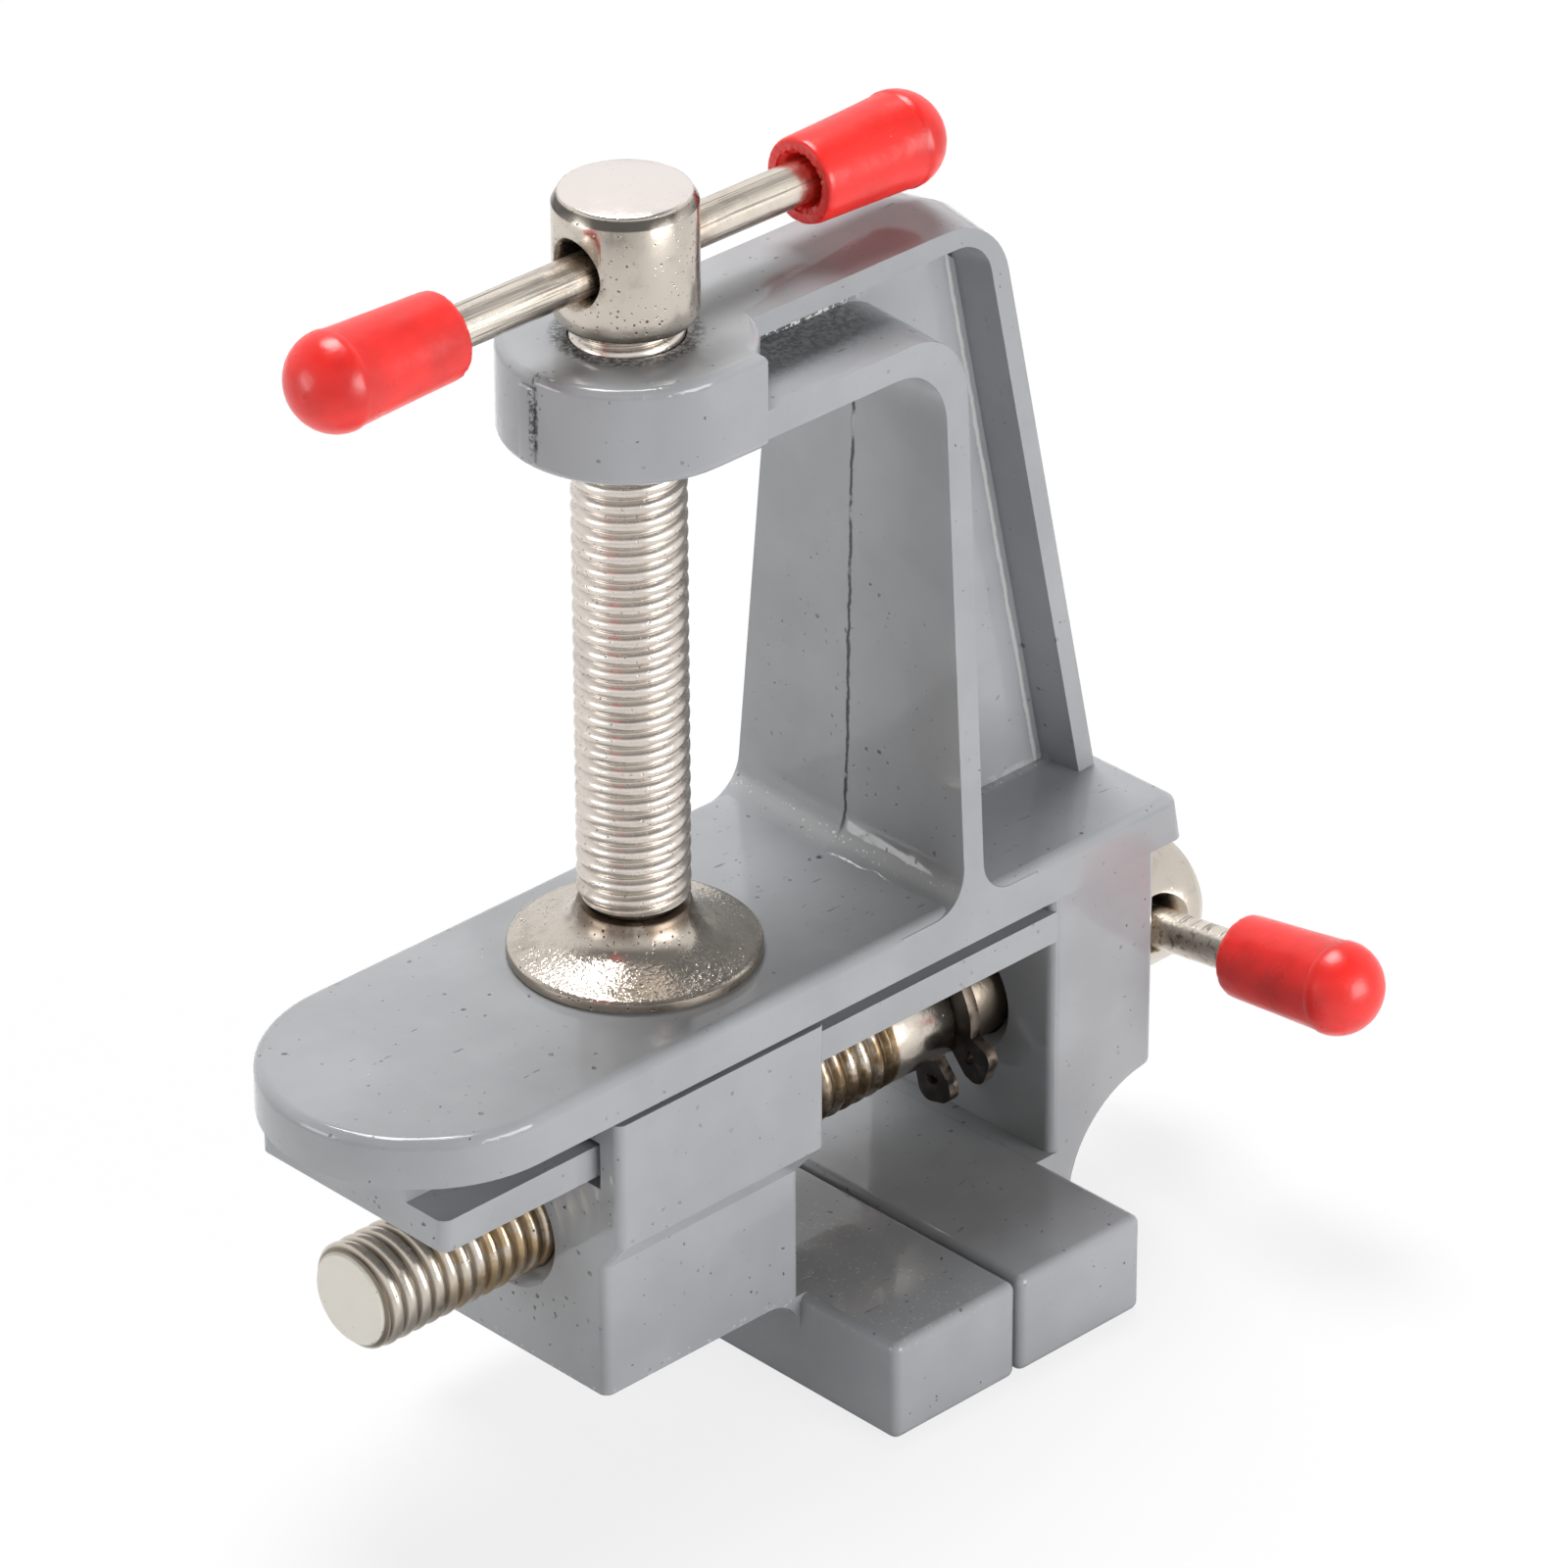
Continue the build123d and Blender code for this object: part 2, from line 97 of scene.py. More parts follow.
NEAR_BLACK = (0.03, 0.03, 0.03)
WHITE_GRIT = (0.9, 0.9, 0.87)
DARK_FLAW = (0.03, 0.029, 0.028)
PALE_FLASH_AND_HIGHLIGHT = (0.85, 0.85, 0.83)
CLEAN_LIT_NICKEL = (0.86, 0.79, 0.755)

# Name, place in metres, side of the square in metres and power of each lamp.
LAMPS = (("key", (0.22, -1.01, 0.20), 0.60, 8.8),
         ("top", (0.12, 0.28, 0.96), 0.45, 9.6),
         ("side", (-0.86, 0.34, 0.16), 0.4, 2.2))
LAMP_AIM = Vector((-0.015, 0, 0.045))
AMBIENT = 0.13


# --- Settings a user would change ------------------------------------------------------------
class ViseCastingSettings(bpy.types.PropertyGroup):
    """Cast bodies."""
    paint: bpy.props.FloatVectorProperty(
        name="Paint", description="Enamel on both castings", subtype="COLOR",
        default=(0.37, 0.38, 0.395), min=0, max=1)
    edge_round: bpy.props.FloatProperty(
        name="Edge round", description="Radius of the cast edges that the solids leave sharp",
        default=0.32 * MM, unit="LENGTH")
    gate_stub: bpy.props.FloatProperty(
        name="Gate stub", description="Height of the ground-off stub of the gate on the boss",
        default=0.3 * MM, unit="LENGTH")


class ViseScrewSettings(bpy.types.PropertyGroup):
    """Screws, bars, pad and ring."""
    plating: bpy.props.FloatVectorProperty(
        name="Plating", description="Nickel on the screws", subtype="COLOR",
        default=(0.60, 0.545, 0.475), min=0, max=1)
    pitch: bpy.props.FloatProperty(
        name="Pitch", description="Distance between two thread crests", default=1.25 * MM,
        unit="LENGTH")
    crest_radius: bpy.props.FloatProperty(
        name="Crest radius", description="Screw axis to the thread crests", default=3.9 * MM,
        unit="LENGTH")
    root_radius: bpy.props.FloatProperty(
        name="Root radius", description="Screw axis to the thread roots", default=3.50 * MM,
        unit="LENGTH")


class ViseCapSettings(bpy.types.PropertyGroup):
    """Soft caps on the bars."""
    vinyl: bpy.props.FloatVectorProperty(
        name="Vinyl", description="Colour of the four caps", subtype="COLOR",
        default=(0.90, 0.026, 0.020), min=0, max=1)
    ragged: bpy.props.FloatProperty(
        name="Ragged rim", description="How uneven the trimmed open end is", default=0.16 * MM,
        unit="LENGTH")


class ViseStageSettings(bpy.types.PropertyGroup):
    """Camera, floor and light."""
    camera_place: bpy.props.FloatVectorProperty(
        name="Camera place", description="Where the camera stands", subtype="TRANSLATION",
        default=(-0.37709, -0.38060, 0.34463), unit="LENGTH")
    azimuth: bpy.props.FloatProperty(
        name="Azimuth", description="Turn of the view from looking along +Y", subtype="ANGLE",
        default=math.radians(-43.96))
    elevation: bpy.props.FloatProperty(
        name="Elevation", description="Camera above level", subtype="ANGLE",
        default=math.radians(29.86))
    roll: bpy.props.FloatProperty(
        name="Roll", description="Lean of the camera", subtype="ANGLE",
        default=math.radians(-0.19))
    lens: bpy.props.FloatProperty(
        name="Lens", description="Focal length in millimetres on a 36 mm wide frame",
        default=205.02)


# --- Materials: arithmetic and nodes ---------------------------------------------------------
class Amount:
    """A number that varies over a surface; arithmetic on it adds Math nodes."""

    def __init__(self, tree, socket):
        self.tree = tree
        self.socket = socket

    def math(self, operation, *values):
        node = self.tree.node("ShaderNodeMath", {"operation": operation}, dict(enumerate(values)))
        return node.amount(0)

    def __add__(self, other):
        return self.math("ADD", self, other)

    def __sub__(self, other):
        return self.math("SUBTRACT", self, other)

    def __rsub__(self, other):
        return self.math("SUBTRACT", other, self)

    def __mul__(self, other):
        return self.math("MULTIPLY", self, other)

    def size(self):
        return self.math("ABSOLUTE", self)

    def most(self, other):
        return self.math("MAXIMUM", self, other)

    def power(self, other):
        return self.math("POWER", self, other)

    def ramp(self, low, high):
        """0 at low, 1 at high, smooth between; low may be the larger."""
        node = self.tree.node("ShaderNodeMapRange", {"interpolation_type": "SMOOTHSTEP"}, {
            "Value": self, "From Min": low, "From Max": high, "To Min": 0.0, "To Max": 1.0})
        return node.amount("Result")


def distance(a, b):
    """Distance from an axis, from the two amounts across it."""
    return (a.power(2) + b.power(2)).power(0.5)


class Placed:
    """A node in a tree, whose outputs are read by name or number."""

    def __init__(self, tree, node):
        self.tree = tree
        self.node = node

    def amount(self, output):
        return Amount(self.tree, self.node.outputs[output])

    def out(self, output=0):
        return self.node.outputs[output]


class Tree:
    """The emptied node tree of a material or a world."""

    def __init__(self, owner):
        owner.use_nodes = True
        self.tree = owner.node_tree
        self.tree.nodes.clear()

    def link(self, source, target):
        self.tree.links.new(source, target)

    def node(self, kind, settings=None, values=None):
        """Adds a node, sets its settings, then sets or links its sockets."""
        node = self.tree.nodes.new(kind)
        for key, value in (settings or {}).items():
            setattr(node, key, value)
        for key, value in (values or {}).items():
            self.feed(node.inputs[key], value)
        return Placed(self, node)

    def feed(self, target, value):
        """Links a socket to another one, or gives it a fixed value."""
        if isinstance(value, Amount):
            self.link(value.socket, target)
        elif isinstance(value, bpy.types.NodeSocket):
            self.link(value, target)
        elif target.type == "RGBA" and len(value) == 3:
            target.default_value = (*value, 1)
        else:
            target.default_value = value

    def axes(self, place):
        """The three coordinates of a place as amounts."""
        node = self.node("ShaderNodeSeparateXYZ", {}, {0: place})
        return node.amount(0), node.amount(1), node.amount(2)


class Finish(Tree):
    """One material: a Principled shader and what feeds it. Places in it are in mm."""

    def __init__(self, name):
        self.material = bpy.data.materials.new(name)
        super().__init__(self.material)
        self.shader = self.node("ShaderNodeBsdfPrincipled")
        self.output = self.node("ShaderNodeOutputMaterial", {}, {"Surface": self.shader.out()})
        self.place = self.node("ShaderNodeVectorMath", {"operation": "SCALE"}, {
            "Vector": self.node("ShaderNodeTexCoord").out("Object"), "Scale": 1 / MM}).out()

    def set(self, **values):
        """Sets or links sockets of the shader; an underscore stands for a space."""
        for key, value in values.items():
            self.feed(self.shader.node.inputs[key.replace("_", " ")], value)

    def blend(self, low, high, factor):
        """A colour between two colours."""
        node = self.node("ShaderNodeMix", {"data_type": "RGBA"}, {0: factor, 6: low, 7: high})
        return node.out(2)

    def normal_axes(self):
        """Size of the surface normal along each axis."""
        node = self.node("ShaderNodeNewGeometry")
        return tuple(a.size() for a in self.axes(node.out("True Normal")))

    def stretched(self, turn, scale):
        """The place turned, then scaled along each axis."""
        node = self.node("ShaderNodeMapping", {"vector_type": "POINT"}, {
            "Vector": self.place, "Rotation": turn, "Scale": scale})
        return node.out()

    def shaken(self, size, reach):
        """The place pushed about by noise of a size, by up to a reach, both in mm."""
        push = self.node("ShaderNodeTexNoise", {}, {"Vector": self.place, "Scale": 1 / size,
                                                    "Detail": 2.0})
        centred = self.node("ShaderNodeVectorMath", {"operation": "SUBTRACT"}, {
            0: push.out("Color"), 1: (0.5, 0.5, 0.5)})
        return self.node("ShaderNodeVectorMath", {"operation": "MULTIPLY_ADD"}, {
            0: centred.out(), 1: (2 * reach,) * 3, 2: self.place}).out()

    def cloud(self, size, detail=3.0, roughness=0.5, place=None):
        """Noise whose largest features are about a size in mm."""
        node = self.node("ShaderNodeTexNoise", {}, {
            "Vector": place or self.place, "Scale": 1 / size, "Detail": detail,
            "Roughness": roughness})
        return node.amount(0)

    def specks(self, spacing, share, size, place=None):
        """Scattered spots of a size, at most one for each spacing, in a share of the cells."""
        node = self.node("ShaderNodeTexVoronoi", {}, {"Vector": place or self.place,
                                                      "Scale": 1 / spacing})
        chance, scale, _ = self.axes(node.out("Color"))
        radius = 0.5 * size / spacing
        near = (node.amount("Distance") + scale * (0.6 * radius)).ramp(radius, radius * 0.45)
        return near * chance.ramp(share + 0.01, share - 0.01)

    def bump(self, height, distance, strength=1.0):
        """Normal that follows a height; distance is in mm."""
        return self.node("ShaderNodeBump", {}, {
            "Height": height, "Distance": distance * MM, "Strength": strength}).out()


# --- Materials: the finishes -----------------------------------------------------------------
class Enamel(Finish):
    """Enamel, its flaws and its painted light. Each method marks where one of them lies, from 0 to
    1.
    """

    def __init__(self):
        super().__init__("grey_enamel")
        self.x, self.y, self.z = self.axes(self.place)
        self.nx, self.ny, self.nz = self.normal_axes()
        self.grit = self.cloud(0.42, 2, 0.75)
        self.ragged = self.shaken(0.5, 0.25)
        self.wander = (self.cloud(1.6, 4, 0.6) - 0.5) * 0.7
        self.broken = self.cloud(2.4, 3).ramp(0.33, 0.42)

    def arm_hollow(self):
        """The recess in the arm's side, and the ledge below it, where shade is painted dark."""
        x, y, z = self.x, self.y, self.z
        arm = x.ramp(CLAMP_X + 3.0, CLAMP_X + 4.4) * x.ramp(-2.5, -8)
        recess = z.ramp(SHELF - 0.4, SHELF + 0.1) * y.size().ramp(2.4, 1.8)
        ledge = (z - SHELF).size().ramp(1.3, 0.6) * y.size().ramp(7.0, 1.5)
        return arm * recess * self.ny.ramp(0.4, 0.7), arm * ledge * self.nz.ramp(0.3, 0.7)

    def screw_mouth(self):
        """The rim of the boss round the clamp screw."""
        reach = distance(self.x - CLAMP_X, self.y)
        return reach.ramp(5.4, 4.7) * self.z.ramp(CROWN_TOP - 2.0, CROWN_TOP - 1.5)

    def shoulder(self):
        """The step of the sliding jaw between its block and its bar."""
        return (self.z - BAR_HEIGHT).size().ramp(0.8, 0.4) * self.x.ramp(JAW_FACE, JAW_FACE - 5)

    def pits(self):
        """Casting pits: in patches, on the block round the lead screw and on the shoulder."""
        x, y, z = self.x, self.y, self.z
        end = x.ramp(BLOCK_END + 0.8, BLOCK_END + 0.3) * x.ramp(BLOCK_END - 1.5, BLOCK_END - 0.5)
        patchy = self.cloud(7, 2).ramp(0.48, 0.60)
        busy = (patchy * 0.8 + 0.12) * (1.0 - self.ny * 0.6)
        busy = busy.most(end * distance(y, z - LEAD_Z).ramp(13, 6)).most(self.shoulder() * 0.8)
        return self.specks(1.05, 0.50, 0.46, self.ragged) * busy

    def scars(self):
        """Short scratches on the upward faces."""
        streaks = self.cloud(1.0, 3, 0.6, self.stretched((0, 0, 0.7), (0.3, 1.3, 1.3)))
        return streaks.ramp(0.69, 0.72) * self.nz.ramp(0.8, 0.95)

    def crease_highlight(self):
        """Painted highlight along the fillets where the column and its web stand on the plate."""
        x, y, z = self.x, self.y, self.z
        foot = (z - (PLATE_TOP + 0.9)).size().ramp(0.8, 0.1) * x.ramp(-9, -7.5)
        foot = foot * self.nz.ramp(0.25, 0.55) * self.nx.ramp(0.25, 0.55)
        web_foot = y.size().ramp(1.9, 1.3) * (z - PLATE_TOP).size().ramp(0.6, 0.3)
        return foot.most(web_foot * x.ramp(-3, -1) * self.cloud(1.2, 3).ramp(0.36, 0.5))

    def seam(self):
        """The parting line down the throat."""
        x, z = self.x, self.z
        line = (self.y + self.wander).size().ramp(0.19, 0.07) * self.ny.ramp(0.5, 0.2)
        throat = z.ramp(PLATE_TOP + 0.5, PLATE_TOP + 2) * z.ramp(CROWN_TOP - 5, CROWN_TOP - 7)
        return line * throat * x.ramp(-12, -8) * (x.ramp(4, 0) * 0.6 + 0.4)

    def flash_and_highlight(self):
        """Pale line up the back wall of the column's hollow: a cast fin, and partly a painted
        highlight of the fillet beside it.
        """
        wall = POCKET_BACK - 0.5
        line = (self.x + (self.z - PLATE_TOP) * COLUMN_LEAN - wall + self.wander * 0.5).size()
        line = line.ramp(0.26, 0.10) * self.ny.ramp(0.8, 0.95) * self.y.size().ramp(2.0, 1.6)
        return line * self.cloud(3, 2).ramp(0.34, 0.44)

    def gate_line(self):
        """The dark line beside the ground-off gate."""
        line = (self.y + self.wander * 0.5 + 0.5).size().ramp(0.34, 0.14)
        line = line * self.z.ramp(CROWN_TOP - 7.4, CROWN_TOP - 7)
        boss_end = CLAMP_X - BOSS_RADIUS
        return line * self.x.ramp(boss_end + 1.2, boss_end + 0.6)


def enamel():
    """Grey gloss enamel over die-cast metal, with pits, grit, orange peel and parting lines,
    painted shade in the arm's recess and painted highlights along the column's feet.
    """
    look = Enamel()
    grit = look.grit
    paint = bpy.context.scene.vise_casting.paint
    worn, lit = [c * 0.93 for c in paint], [min(1.0, c * 1.04) for c in paint]
    colour = look.blend(worn, lit, look.cloud(8, 3).ramp(0.3, 0.7))

    recess, ledge = look.arm_hollow()
    # Painted shade: near-black in the arm's recess and on its ledge, broken by grit; white grit in
    # the recess.
    shade_and_grit = (recess * 0.9).most(ledge)
    colour = look.blend(colour, NEAR_BLACK, shade_and_grit * (grit.ramp(0.62, 0.40) * 0.5 + 0.3))
    colour = look.blend(colour, WHITE_GRIT, recess * grit.ramp(0.49, 0.53))
    colour = look.blend(colour, NEAR_BLACK, look.screw_mouth() * grit.ramp(0.60, 0.44) * 0.75)

    pits, scars, seam = look.pits(), look.scars(), look.seam()
    pinholes = look.specks(0.62, 0.14, 0.24, look.ragged)
    dark = (seam * look.broken * 0.95).most(pits * 0.9).most(pinholes * 0.85).most(scars * 0.6)
    dark = dark.most(look.gate_line() * look.broken * grit.ramp(0.58, 0.48) * 0.85)
    colour = look.blend(colour, DARK_FLAW, dark)

    crease_highlight, flash_and_highlight = look.crease_highlight(), look.flash_and_highlight()
    # Painted highlights: pale glints and a pale stripe along the fillets at the column's feet, a
    # few glints on the jaw's step; the pale mix also carries the cast fin.
    painted_glints = look.specks(0.38, 0.85, 0.32, look.ragged) * crease_highlight.most(look.shoulder() * 0.3)
    pale = painted_glints.most(flash_and_highlight * 0.5).most(crease_highlight * 0.2)
    look.set(Base_Color=look.blend(colour, PALE_FLASH_AND_HIGHLIGHT, pale))
    look.set(Roughness=look.cloud(4.2, 3).ramp(0.2, 0.8) * 0.09 + 0.06 + dark * 0.35 + shade_and_grit * 0.2)
    look.set(Specular_IOR_Level=0.5)
    peel = look.cloud(3.2, 2) * 0.5 + look.cloud(0.9, 2) * 0.07 + look.cloud(9, 2) * 0.8
    height = peel + grit * shade_and_grit * 1.2 - pits * 1.1 - pinholes * 0.7 - scars * 0.8 + flash_and_highlight * 1.2
    look.set(Normal=look.bump(height - seam * 0.8, 0.17, 0.5))
    return look.material


def plated(look, colour, grime_and_shade, shine, clean_and_lit_face=0.0, dark_reflection_band=0.0):
    """Nickel plating with brown pits, dirt and painted shade, a paler face that is clean and
    partly a painted highlight, and a dark ring that is a painted reflection.
    """
    mottle = look.cloud(2.6, 5, 0.65)
    ragged = look.shaken(0.3, 0.10)
    pits = look.specks(0.36, 0.85, 0.25, ragged) * look.cloud(3.5, 3).ramp(0.32, 0.50)
    pits = pits * (1.0 - clean_and_lit_face * 0.9)
    colour = look.blend([c * 0.80 for c in colour], colour, mottle.ramp(0.30, 0.50))
    # Paler where the face is clean, partly a painted highlight; then dirt and painted shade, then
    # the painted dark reflection.
    colour = look.blend(colour, CLEAN_LIT_NICKEL, clean_and_lit_face * 0.95)
    colour = look.blend(colour, (0.10, 0.065, 0.040), grime_and_shade)
    colour = look.blend(colour, (0.05, 0.045, 0.04), dark_reflection_band)
    look.set(Base_Color=look.blend(colour, (0.06, 0.04, 0.03), pits * 0.85))
    look.set(Metallic=1.0)
    look.set(Roughness=mottle.ramp(0.2, 0.8) * 0.08 + shine + pits * 0.3 + grime_and_shade * 0.2)
    return look.cloud(0.5, 3, 0.6) * 0.25 + look.cloud(2.2, 2) * 0.7 - pits * 0.8


def clamp_screw_plate():
    """Nickel of the clamp screw: painted shade between the threads, a painted dark reflection
    round the head's bevel.
    """
    look = Finish("clamp_screw_plate")
    x, y, z = look.axes(look.place)
    plating = bpy.context.scene.vise_screws.plating
    reach = distance(x - CLAMP_X, y)
    head_foot = CLAMP_HEAD_TOP - HEAD_LENGTH
    stem = z.ramp(head_foot + 0.1, head_foot - 0.1)
    # Painted shade between the threads.
    root_shade = reach.ramp(3.66, 3.52) * stem * 0.2
    foot = z.ramp(PLATE_TOP + 7, PLATE_TOP + 4.5) * 0.5
    bevel = z.ramp(CLAMP_HEAD_TOP - 0.90, CLAMP_HEAD_TOP - 0.78) * reach.ramp(4.46, 4.54)
    top_face = z.ramp(CLAMP_HEAD_TOP - 0.10, CLAMP_HEAD_TOP - 0.04)
    hole = distance(z - (head_foot + HEAD_LENGTH / 2), y)
    round_hole = hole.ramp(2.9, 2.1) * (1 - stem) * look.cloud(0.8, 3).ramp(0.38, 0.6)
    grime_and_shade = root_shade.most(foot * look.cloud(1.2, 3).ramp(0.35, 0.6))
    grime_and_shade = grime_and_shade.most(round_hole * 0.5)
    # Painted reflection: a dark ring round the head's bevel.
    dark_reflection_band = bevel * look.cloud(5, 1).ramp(0.40, 0.52) * 0.9
    # The head's top face is paler: clean nickel and partly a painted highlight; the stem a little
    # paler too.
    height = plated(look, plating, grime_and_shade, stem * 0.08 + 0.15, top_face.most(stem * 0.35), dark_reflection_band)
    look.set(Normal=look.bump(height, 0.05, 0.6))
    return look.material


def lead_screw_plate():
    """Nickel of the lead screw: golden stain on its thread, oiled brown behind the jaw that is
    partly painted shade, and painted shade between the threads and on the shank past the ring.
    """
    look = Finish("lead_screw_plate")
    x, y, z = look.axes(look.place)
    plating = bpy.context.scene.vise_screws.plating
    reach = distance(y, z - LEAD_Z)
    thread = x.ramp(RING_BACK - 5.4, RING_BACK - 5.8)
    # Painted shade between the threads.
    root_shade = reach.ramp(3.78, 3.56) * thread
    rust = look.cloud(2.2, 4, 0.6)
    stained = x.ramp(LEAD_END + 3, LEAD_END + 9) * rust.ramp(0.34, 0.58) * 0.85
    # Oiled brown behind the jaw, partly painted shade; painted shade on the shank past the ring,
    # into the wall.
    oily_and_shaded = x.ramp(JAW_FACE - 10, JAW_FACE - 4) * thread * 0.85
    shaded_far_shank = x.ramp(RING_BACK - 0.4, RING_BACK) * x.ramp(RING_FRONT + 12, RING_FRONT + 8) * 0.72
    colour = look.blend(plating, (0.46, 0.31, 0.15), stained * thread)
    end = x.ramp(LEAD_END + 0.25, LEAD_END + 0.1)
    mottle = look.cloud(2.8, 5, 0.65)
    ragged = look.shaken(0.3, 0.10)
    pits = look.specks(0.46, 0.34, 0.24, ragged) * look.cloud(4, 3).ramp(0.38, 0.58)
    grime_and_shade = (root_shade * 0.75).most(oily_and_shaded * rust.ramp(0.3, 0.6)).most(shaded_far_shank)
    grime_and_shade = grime_and_shade.most((1 - mottle.ramp(0.25, 0.45)) * 0.5)
    colour = look.blend(colour, (0.085, 0.055, 0.03), grime_and_shade)
    colour = look.blend(colour, (0.74, 0.71, 0.64), end)
    look.set(Base_Color=look.blend(colour, (0.05, 0.04, 0.03), pits * 0.8))
    look.set(Metallic=1.0 - end * 0.7)
    look.set(Roughness=mottle.ramp(0.2, 0.8) * 0.12 + 0.17 + grime_and_shade * 0.15 + end * 0.3)
    height = look.cloud(0.5, 3, 0.6) * (end * 1.2 + 0.4) + mottle * 0.5 - pits * 0.7
    look.set(Normal=look.bump(height, 0.06, 0.7))
    return look.material


def pad_plate():
    """Nickel of the pad, grainy on its slope, brown stain round the screw's end that is partly a
    painted dark reflection, and painted shade round its rim.
    """
    look = Finish("pad_plate")
    x, y, z = look.axes(look.place)
    plating = bpy.context.scene.vise_screws.plating
    reach = distance(x - CLAMP_X, y)
    neck = z.ramp(PLATE_TOP + 2.0, PLATE_TOP + 3.6)
    # Painted shade round the pad's rim.
    rim = reach.ramp(8.60, 8.72) * 0.55
    grain = look.cloud(0.36, 2, 0.6)
    slope = reach.ramp(4.6, 6.0) * reach.ramp(8.7, 8.4)
    # Brown stain round the neck, partly a painted dark reflection, with the painted shade of the
    # rim.
    grime_and_shade = (neck * (look.cloud(1.6, 3).ramp(0.25, 0.5) * 0.5 + 0.35)).most(rim)
    height = plated(look, plating, grime_and_shade, 0.15)
    look.set(Normal=look.bump(height * 0.5 + grain * slope * 1.3, 0.09, 0.7))
    return look.material


def drawn_bar(name, along, centre):
    """Plated rod with drawing marks along its length, brown where it slides in its hole."""
    look = Finish(name)
    plating = bpy.context.scene.vise_screws.plating
    turn = ALONG_X.rotation_difference(along).inverted().to_euler()
    marks = look.cloud(1.0, 3, 0.6, look.stretched(turn, (0.05, 2.4, 2.4)))
    fine = look.cloud(1.0, 2, 0.6, look.stretched(turn, (0.3, 8, 8)))
    offset = look.node("ShaderNodeVectorMath", {"operation": "SUBTRACT"}, {
        0: look.place, 1: centre})
    reach = look.node("ShaderNodeVectorMath", {"operation": "DOT_PRODUCT"}, {
        0: offset.out(), 1: along}).amount("Value").size()
    rust = reach.ramp(8.2, 5.2) * look.cloud(1.6, 4, 0.6).ramp(0.38, 0.62)
    dull = look.cloud(2.4, 4, 0.65).ramp(0.50, 0.72)
    pale = [min(1.0, c * 1.22) for c in plating]
    colour = look.blend([c * 0.5 for c in plating], pale, marks.ramp(0.32, 0.46))
    colour = look.blend(colour, (0.20, 0.12, 0.07), (rust * 0.6).most(dull * 0.2))
    specks = look.specks(0.6, 0.2, 0.16, look.shaken(0.3, 0.1))
    look.set(Base_Color=look.blend(colour, (0.06, 0.045, 0.04), specks * 0.6))
    look.set(Metallic=1.0)
    look.set(Roughness=fine * 0.16 + 0.14 + rust * 0.2)
    look.set(Normal=look.bump(marks + fine * 0.5 - specks * 0.4, 0.06, 0.7))
    return look.material


def black_oxide():
    """Oiled black spring steel, rubbed brown on its edges."""
    look = Finish("black_oxide")
    cloud = look.cloud(1.1, 4)
    nx, _, _ = look.normal_axes()
    rubbed = nx.ramp(0.75, 0.45) * cloud.ramp(0.35, 0.6) * 0.6
    colour = look.blend((0.018, 0.015, 0.013), (0.06, 0.048, 0.04), cloud.ramp(0.4, 0.8))
    look.set(Base_Color=look.blend(colour, (0.24, 0.19, 0.15), rubbed))
    look.set(Metallic=0.8)
    look.set(Roughness=cloud * 0.25 + 0.26)
    look.set(Normal=look.bump(cloud, 0.04, 0.5))
    return look.material


def vinyl():
    """Soft dipped vinyl, a little uneven, with dust in its skin and a darker trimmed end."""
    look = Finish("red_vinyl")
    red = bpy.context.scene.vise_caps.vinyl
    drift = look.cloud(4.5, 3)
    colour = look.blend([c * 0.80 for c in red], red, drift.ramp(0.3, 0.6))
    dust = look.specks(1.3, 0.10, 0.14, look.shaken(0.4, 0.15))
    look.set(Base_Color=look.blend(colour, (0.9, 0.5, 0.45), dust * 0.5))
    look.set(Roughness=look.cloud(2, 2) * 0.16 + 0.22)
    look.set(Specular_IOR_Level=0.5)
    skin = look.cloud(1.2, 3) * 0.5 + look.cloud(6, 2) - dust * 0.5
    look.set(Normal=look.bump(skin, 0.16, 0.6))
    return look.material


# --- Modelling helpers -----------------------------------------------------------------------
def deselect():
    bpy.ops.object.select_all(action="DESELECT")


def only(piece):
    """Makes a piece the one selected and active object."""
    deselect()
    piece.select_set(True)
    bpy.context.view_layer.objects.active = piece


def apply_modifier(piece, kind, **settings):
    only(piece)
    modifier = piece.modifiers.new(kind.lower(), kind)
    for key, value in settings.items():
        setattr(modifier, key, value)
    bpy.ops.object.modifier_apply(modifier=modifier.name)


def settle(piece, matrix):
    """Moves a mesh built about the origin to its place, and leaves its object unturned there."""
    only(piece)
    piece.matrix_world = matrix
    bpy.context.view_layer.update()
    bpy.ops.object.transform_apply(location=True, rotation=True, scale=True)


def facing(origin, direction, across=Vector((0, 0, 1))):
    """Matrix that takes the origin to a place in mm, +Z to a direction, +X roughly to across."""
    z = Vector(direction).normalized()
    x = (Vector(across) - z * Vector(across).dot(z)).normalized()
    turn = Matrix((x, z.cross(x), z)).transposed().to_4x4()
    return Matrix.Translation(Vector(origin) * MM) @ turn


def clean(piece, gap=DOUBLED):
    """Merges vertices closer than a gap in mm and turns the faces outward."""
    only(piece)
    bpy.ops.object.mode_set(mode="EDIT")
    bpy.ops.mesh.select_all(action="SELECT")
    bpy.ops.mesh.remove_doubles(threshold=gap * MM)
    bpy.ops.mesh.normals_make_consistent(inside=False)
    bpy.ops.object.mode_set(mode="OBJECT")


